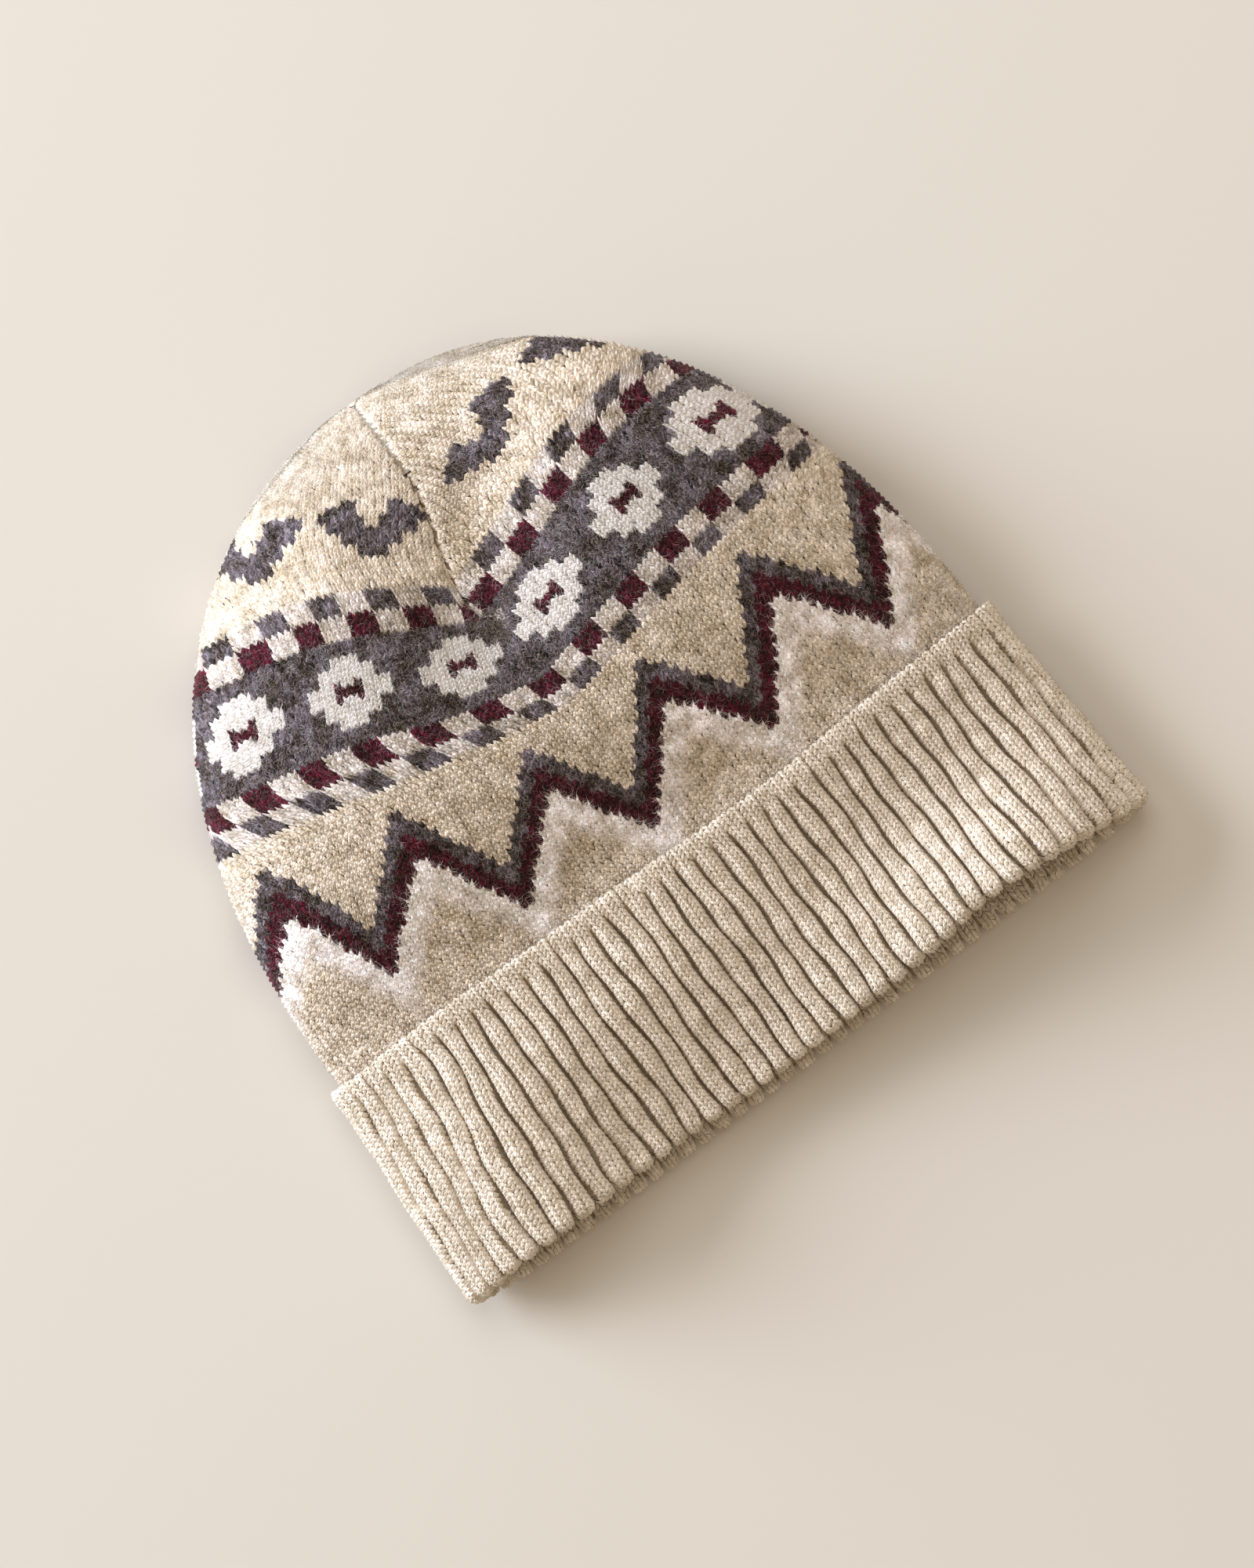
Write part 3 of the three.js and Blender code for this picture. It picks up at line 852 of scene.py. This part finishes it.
def make_crown_layer(name, first, depth, shade, inward):
    """A plain layer of the crown, closed at the top, from its first station at each turn, in oatmeal
    darkened by the given share as painted shade.
    """
    rise = np.sin(np.linspace(0, math.pi / 2, LAYER_RINGS))[:, None]
    y = first + (skin.stations[-1] - first) * rise
    points, faces, uvs = layer_rings(y, np.broadcast_to(LAYER_TURNS, y.shape), depth)
    last = np.arange(len(points) - len(first), len(points))
    tip = np.stack([last, np.roll(last, -1), np.full(len(first), len(points))], axis=1)
    points = np.concatenate([points, points[last].mean(axis=0)[None]])
    faces = np.concatenate([faces, tip])
    faces = faces[:, ::-1] if inward else faces
    uvs = np.concatenate([uvs, [(0, CROWN_TOP)]])
    # painted shade: the layer's oatmeal is darkened by shade
    colours = plain_colours(OATMEAL, len(points), shade)
    add_piece("crown", name, (points, faces, colours, uvs), crown_wool)


TIP_LEGS = 20
TIP_START = 0.4  # below the last station
TIP_RISE = 0.3
TIP_HALF_WIDTH = 0.7
TIP_PUFF = 0.8


def make_crown_tip():
    """The last stitches, drawn together at the top of the crown."""
    turns = np.linspace(0, 1, TIP_LEGS, endpoint=False)
    feet, _ = skin.at(np.full(TIP_LEGS, skin.stations[-1] - TIP_START), turns)
    upward = np.array([0.0, 1.0, 0.0])
    reach = feet.mean(axis=0) + TIP_RISE * upward - feet
    side = unit(np.cross(upward, reach))
    each = np.ones(TIP_LEGS)
    along, across, out = leg_grid(TIP_LEGS, LEG_POINTS, TIP_HALF_WIDTH * each, TIP_PUFF * each)
    points = feet[:, None] + along[..., None] * reach[:, None] + across[..., None] * side[:, None]
    points = points + out[..., None] * upward
    colours = plain_colours(OATMEAL, TIP_LEGS)
    length = np.linalg.norm(reach, axis=1, keepdims=True)
    parts = join_legs(points, LEG_FACES, colours, along, across, length)
    add_piece("crown", "crown_tip", parts, crown_wool)


# ---- The cuff ----

RIB_TOP = LAYER_GAP + CUFF_LAYER
FOLD_RADIUS = (RIB_TOP + WALL) / 2
EDGE_RADIUS = CUFF_LAYER / 2
RIB_PITCH = 6.1
VALLEY_DEPTH = 2.6
VALLEY_REACH = 0.54
RIB_ROUNDNESS = 0.6
CUFF_ROW = 1.6
LIP_TURN = 2.7  # how far round the free edge the fabric goes, in radians
VALLEY_BEGINS = (2.5, 6.5)  # millimetres from the free edge
DRIFT_RIB = 64  # counted round from the middle of the front
DRIFT_RIBS = 0.95
DRIFT_REACH = 5.0
DRIFT_BEGINS = (4, 64)  # millimetres from the free edge, to where it is full
KNIT_COLUMNS = (0.285, 0.715)  # middles of a rib's two columns of stitches
HALF_COLUMN = 0.205
CUFF_LEG_HALF_WIDTH = 0.58
CUFF_LEG_PUFF = (0.55, 0.75)
CUFF_LEG_ROWS = 1.75
COLUMNS_PART = (1.5, 7.0)  # millimetres from the free edge
# How the ribs waver: ribs' widths, turns in radians for each millimetre down and each way round.
WAVER = [(0.07, 0.12, 14), (0.04, 0.31, -23)]
# How the columns of stitches wobble: ribs' widths, turns in radians for each row and each rib.
WOBBLE = [(0.035, 0.23, 1.7), (0.02, 0.61, 4.1)]


def waves(rows, along, around):
    return sum(size * np.sin(by_along * along + by_around * around) for size, by_along, by_around in rows)


class CuffSheet:
    """The cuff's fabric: v runs in millimetres from the free edge down the turned-up layer, round
    the fold and up inside; negative v goes over the free edge. A rib is one unit of u."""

    OUTER = 66.0
    FOLD = OUTER + math.pi * FOLD_RADIUS
    CLOSING = (OUTER + 6, FOLD + 2)  # where the ribs close up, round the fold

    def at(self, u, v, out):
        turn = ((u - self.drift(u, v)) / RIB_COUNT) % 1.0
        edge = free_edge(turn) - EDGE_RADIUS
        fold = fold_line(turn) + FOLD_RADIUS
        angle = np.clip((v - self.OUTER) / FOLD_RADIUS, 0, math.pi)
        lip = np.clip(-v / EDGE_RADIUS, 0, LIP_TURN)
        station = lerp(edge, fold, np.clip(v / self.OUTER, 0, 1))
        station = station + EDGE_RADIUS * np.sin(lip) - FOLD_RADIUS * np.sin(angle)
        station = station + np.maximum(v - self.FOLD, 0)
        outward = RIB_TOP - EDGE_RADIUS * (1 - np.cos(lip)) - FOLD_RADIUS * (1 - np.cos(angle))
        toward_y = np.sin(lip) - np.sin(angle)
        facing = np.cos(lip) * np.cos(angle)
        out = out - self.valley(u, v)
        place, normal = skin.at(station + toward_y * out, turn)
        return place + normal * (outward + facing * out)[..., None]

    def valley(self, u, v):
        """How far the fabric falls between two ribs, less at the free edge and inside the fold."""
        away = np.abs(u - np.round(u)) * RIB_PITCH
        begun = smoothstep(v, *VALLEY_BEGINS)
        rounder = 1 + 1.1 * bell(v - (self.OUTER + self.FOLD) / 2, 6)
        ridge_fall = RIB_ROUNDNESS * rounder * (1 - away / (RIB_PITCH / 2)) ** 2
        at_fold = 1 - 0.3 * smoothstep(v, self.OUTER - 4, self.OUTER + 3)
        at_fold = at_fold - 0.45 * smoothstep(v, *self.CLOSING)
        return begun * at_fold * (VALLEY_DEPTH * bell(away, VALLEY_REACH) + ridge_fall)

    def drift(self, u, v):
        """How many ribs' width the ribs near the left end lean outward on their way to the fold."""
        away = np.abs(u % RIB_COUNT - DRIFT_RIB)
        drifting = bell(np.minimum(away, RIB_COUNT - away), DRIFT_REACH)
        waver = waves(WAVER, v, 2 * math.pi * u / RIB_COUNT)
        return DRIFT_RIBS * drifting * smoothstep(v, *DRIFT_BEGINS) + waver


cuff_sheet = CuffSheet()


def cuff_legs(ribs, slant, column_centre, first_v, last_v, fine):
    """Legs of one of the ribs' two columns of stitches. They point towards the free edge."""
    ribs, rows = np.meshgrid(ribs, np.arange(int((last_v - first_v) / CUFF_ROW)), indexing="ij")
    ribs, rows = ribs.ravel().astype(float), rows.ravel().astype(float)
    count = len(ribs)
    spread = YARN_SPREAD[BEIGE] * rng.normal(0, 1, (count, 1))
    colours = shaded(plain_colours(BEIGE, count), 1 + spread)
    puff = rng.uniform(*CUFF_LEG_PUFF, count)
    half_width = CUFF_LEG_HALF_WIDTH * rng.uniform(0.9, 1.1, count)
    tip_v = first_v + rows * CUFF_ROW + rng.normal(0, 0.1, count)
    # At the free edge and inside the fold the columns spread, and close the valleys.
    ribbed = smoothstep(tip_v, *COLUMNS_PART)
    ribbed = ribbed * (1 - smoothstep(tip_v, *CuffSheet.CLOSING))
    centre_u = ribs + lerp(np.round(column_centre) * 0.5 + 0.25, column_centre, ribbed)
    centre_u = centre_u + waves(WOBBLE, rows, ribs)
    tip_u = centre_u + slant * 0.005 + rng.normal(0, 0.012, count)
    wing_u = centre_u + slant * lerp(0.25, HALF_COLUMN, ribbed) + rng.normal(0, 0.012, count)
    tip = np.stack([tip_u, tip_v], axis=1)
    wing = np.stack([wing_u, tip_v + CUFF_LEG_ROWS * CUFF_ROW], axis=1)
    return make_legs(
        cuff_sheet.at, tip, wing, (RIB_PITCH, 1.0), 0.0, half_width, puff, colours, fine, flipped=True)


LAST_FRONT_RIB = 22
FRONT_RIBS = np.arange(-LAST_FRONT_RIB, LAST_FRONT_RIB)
BACK_RIBS = np.arange(LAST_FRONT_RIB, RIB_COUNT - LAST_FRONT_RIB)
FIRST_V = -2.6
SEEN_V = CuffSheet.FOLD + 1.0  # as far round the fold as is seen from above
LAST_V = CuffSheet.FOLD + 13


def make_cuff_stitches(name, ribs, first_v, last_v, fine):
    parts = [
        cuff_legs(ribs, slant, centre, first_v, last_v, fine)
        for centre in KNIT_COLUMNS
        for slant in (-1, 1)
    ]
    add_piece("cuff", name, stack(parts), cuff_wool)


def make_cuff_backing():
    """The cuff's fabric under its stitches, from inside the free edge to well inside the mouth, in beige
    painted darker as shade, darkest in the valleys between the ribs.
    """
    steps = np.concatenate([
        np.linspace(-4.2, 4, 8, endpoint=False),
        np.linspace(4, CuffSheet.OUTER, 12, endpoint=False),
        np.linspace(CuffSheet.OUTER, CuffSheet.FOLD, 7, endpoint=False),
        np.linspace(CuffSheet.FOLD, CuffSheet.FOLD + 52, 7),
    ])
    per_rib = 6
    u = np.arange(RIB_COUNT * per_rib) / per_rib
    v_grid, u_grid = np.meshgrid(steps, u, indexing="ij")
    out = np.where(v_grid > LAST_V + 1, 0.0, -0.55)
    points = cuff_sheet.at(u_grid, v_grid, out).reshape(-1, 3)
    faces = halved(grid_quads(len(steps), len(u), closed=True))[:, ::-1]
    # painted shade: the backing is darkened and browned all over, and darker still in the valleys between
    # the ribs, less so round the fold
    valley = bell((u_grid - np.round(u_grid)) * RIB_PITCH, 1.0) * smoothstep(v_grid, 2, 7)
    valley = valley * (1 - 0.8 * smoothstep(v_grid, CuffSheet.OUTER - 4, CuffSheet.FOLD))
    dark = 0.54 - 0.22 * valley
    beige = np.broadcast_to(YARN_TABLE[BEIGE], dark.shape + (4,))
    colours = shaded(beige, dark[..., None] * PAINTED_SHADE_TINT).reshape(-1, 4)
    uvs = np.stack([u_grid * RIB_PITCH, v_grid], axis=-1).reshape(-1, 2)
    add_piece("cuff", "cuff_backing", (points, faces, colours, uvs), cuff_wool)


def make_cuff_under_layer():
    """The body's own layer behind the turned-up one, seen at the cuff's free edge, its oatmeal painted
    darker as shade under the edge.
    """
    turn = np.linspace(0, 1, 240, endpoint=False)
    level, turns = np.meshgrid(np.linspace(0, 1, 5), turn, indexing="ij")
    y = lerp(free_edge(turns) - 20, free_edge(turns) - 4, level)
    points, faces, uvs = layer_rings(y, turns, 0.3)
    # painted shade: darker oatmeal under the cuff's edge
    colours = plain_colours(OATMEAL, len(points), 0.6)
    add_piece("cuff", "cuff_under_layer", (points, faces, colours, uvs), cuff_wool)


# ---- Loose fibres ----

FIBRE_HALF_WIDTH = 0.027
FIBRE_FACES = np.array([(0, 1, 2), (0, 2, 3), (3, 2, 4)])
FIBRE_BEND = 0.8
PALE_SHARE = 0.6
FRONT_FIBRES = 34000
BACK_FIBRES = 5000
CUFF_FIBRES = 20000
CROWN_FIBRE_STAND = 0.6
CUFF_FIBRE_STAND = 0.7


def mixed_fibres(colours, paler):
    """Most fibres paler than their yarn, by up to the given share of white, and others darker."""
    count = len(colours)
    pale = lerp(colours, YARN_TABLE[WHITE][None], paler[:, None] * rng.uniform(0.2, 1.0, (count, 1)))
    dark = shaded(colours, 1 - (1.15 - paler[:, None]) * rng.uniform(0.15, 0.8, (count, 1)))
    return np.where(rng.random((count, 1)) < PALE_SHARE, pale, dark)


def fibre_ribbons(roots, across, along, normals, yarn, colours, stand):
    """Bent ribbons standing off the fabric, three triangles each."""
    count = len(roots)
    colours = mixed_fibres(colours, FIBRE_PALER[yarn])
    length = (rng.uniform(0.5, 1.0, count) * FIBRE_LENGTH[yarn])[:, None]
    heading = rng.uniform(0, 2 * math.pi, (count, 1))
    flat = across * np.cos(heading) + along * np.sin(heading)
    side = across * -np.sin(heading) + along * np.cos(heading)
    bend = rng.normal(0, FIBRE_BEND, (count, 1))
    rise = rng.uniform(0.1, 1.0, (count, 1)) * stand
    middle = roots + length * (0.5 * flat + 0.45 * rise * normals)
    tip = middle + length * (0.5 * flat + bend * 0.5 * side + 0.1 * rise * normals)
    half = side * FIBRE_HALF_WIDTH
    points = np.stack([roots - half, roots + half, middle + half, middle - half, tip], axis=1)
    each = points.shape[1]
    faces = repeated(FIBRE_FACES, count, each)
    uvs = np.zeros((count * each, 2))
    return points.reshape(-1, 3), faces, np.repeat(colours, each, axis=0), uvs


def make_crown_fibres(name, panel):
    count = FRONT_FIBRES if panel.front else BACK_FIBRES
    rows, columns = panel.stitches()
    yarn, fade = yarn_at(panel.chart_column(columns), rows)
    weight = FIBRE_WEIGHT[yarn]
    pick = rng.choice(len(rows), count, p=weight / weight.sum())
    yarn, fade = yarn[pick], fade[pick]
    row = rows[pick] + rng.uniform(0, 1, count)
    column = columns[pick] + rng.uniform(0, 1, count)
    roots = panel.at(column, row, np.full(count, 0.25))
    level = np.zeros(count)
    across = unit(panel.at(column + 0.5, row, level) - panel.at(column - 0.5, row, level))
    normals = panel.read(panel.normals, column, row)
    along = unit(np.cross(normals, across))
    colours = yarn_colour(yarn, fade, rng.random(count))
    parts = fibre_ribbons(roots, across, along, normals, yarn, colours, CROWN_FIBRE_STAND)
    add_piece("crown", f"crown_fibres_{name}", parts, fibre_wool)


def make_cuff_fibres():
    count = CUFF_FIBRES
    u = rng.uniform(0, RIB_COUNT, count)
    v = rng.uniform(-3, CuffSheet.FOLD + 4, count)
    roots = cuff_sheet.at(u, v, np.full(count, 0.2))
    level = np.zeros(count)
    across = unit(cuff_sheet.at(u + 0.1, v, level) - cuff_sheet.at(u - 0.1, v, level))
    along = unit(cuff_sheet.at(u, v - 0.4, level) - cuff_sheet.at(u, v + 0.4, level))
    normals = np.cross(across, along)
    yarn, colours = np.full(count, BEIGE), plain_colours(BEIGE, count)
    parts = fibre_ribbons(roots, across, along, normals, yarn, colours, CUFF_FIBRE_STAND)
    add_piece("cuff", "cuff_fibres", parts, fibre_wool)


for panel_name, quarter_panel in panels.items():
    make_crown_panel(panel_name, quarter_panel)
make_backing()
inside_start = lerp(fold_line(LAYER_TURNS), free_edge(LAYER_TURNS), INSIDE_START)
# painted shade: the inside of the crown is painted darker
make_crown_layer("crown_inside", inside_start, WALL, shade=0.7, inward=True)
make_crown_tip()
# painted shade: the layer under the stitches at the top is painted darker
end_start = np.full(len(LAYER_TURNS), END_BACKING_START)
make_crown_layer("crown_end_backing", end_start, END_BACKING_DEPTH, shade=0.5, inward=False)
make_cuff_stitches("cuff_front_stitches", FRONT_RIBS, FIRST_V, SEEN_V, True)
make_cuff_stitches("cuff_back_stitches", BACK_RIBS, FIRST_V, SEEN_V, False)
make_cuff_stitches("cuff_inner_stitches", np.arange(RIB_COUNT), SEEN_V, LAST_V, False)
make_cuff_backing()
make_cuff_under_layer()
for panel_name, quarter_panel in panels.items():
    make_crown_fibres(panel_name, quarter_panel)
make_cuff_fibres()


# ---- Floor, light and camera ----

def make_floor():
    bpy.ops.mesh.primitive_plane_add(size=6)
    floor = bpy.context.object
    floor.name = "floor"
    material = bpy.data.materials.new("pale_floor")
    material.use_nodes = True
    shader = material.node_tree.nodes["Principled BSDF"]
    shader.inputs["Base Color"].default_value = (0.655, 0.608, 0.558, 1)
    shader.inputs["Roughness"].default_value = 0.9
    floor.data.materials.append(material)


# The picture's right and up, on the surface that the hat lies on.
PICTURE_RIGHT = Vector((0.7995, -0.6007, 0))
PICTURE_UP = Vector((0.6007, 0.7995, 0))
VIEW_CENTRE = Vector((3.4, 89.7 + FRAME_Y, 0)) * MM
VIEW_HEIGHT = 0.44  # of the picture, at the hat's middle level
CAMERA_HEIGHT = 1.7
MIDDLE_LEVEL = 0.02
SENSOR = 36.0
LAMP_SIZE = 2.0


def make_camera():
    data = bpy.data.cameras.new("camera")
    data.sensor_width = SENSOR
    data.lens = SENSOR * (CAMERA_HEIGHT - MIDDLE_LEVEL) / VIEW_HEIGHT
    data.clip_end = 20
    camera = add_object("camera", data)
    turned = Matrix((PICTURE_RIGHT, PICTURE_UP, Vector((0, 0, 1)))).transposed()
    place = VIEW_CENTRE + Vector((0, 0, CAMERA_HEIGHT))
    camera.matrix_world = Matrix.Translation(place) @ turned.to_4x4()
    bpy.context.scene.camera = camera


def in_picture(right, up, height):
    """A place from its metres to the right and up in the picture, and its height."""
    return VIEW_CENTRE + PICTURE_RIGHT * right + PICTURE_UP * up + Vector((0, 0, height))


def add_lamp(name, place, watts, colour):
    """A square area light, aimed at the hat."""
    light = bpy.data.lights.new(name, "AREA")
    light.shape = "RECTANGLE"
    light.size = light.size_y = LAMP_SIZE
    light.energy = watts
    light.color = colour
    lamp = add_object(name, light)
    lamp.location = place
    lamp.rotation_euler = (VIEW_CENTRE - place).to_track_quat("-Z", "Y").to_euler()


def make_world():
    world = bpy.data.worlds.new("studio")
    world.use_nodes = True
    background = world.node_tree.nodes["Background"]
    background.inputs["Color"].default_value = (1.0, 0.83, 0.6, 1)
    background.inputs["Strength"].default_value = 0.5
    bpy.context.scene.world = world
    bpy.context.scene.view_settings.view_transform = "Standard"


make_floor()
add_lamp("key", in_picture(-3.0, 0.8, 1.22), 189, (0.8, 0.89, 1.0))
add_lamp("top", in_picture(-0.4, 1.5, 2.6), 30, (0.95, 0.97, 1.0))
make_world()
make_camera()
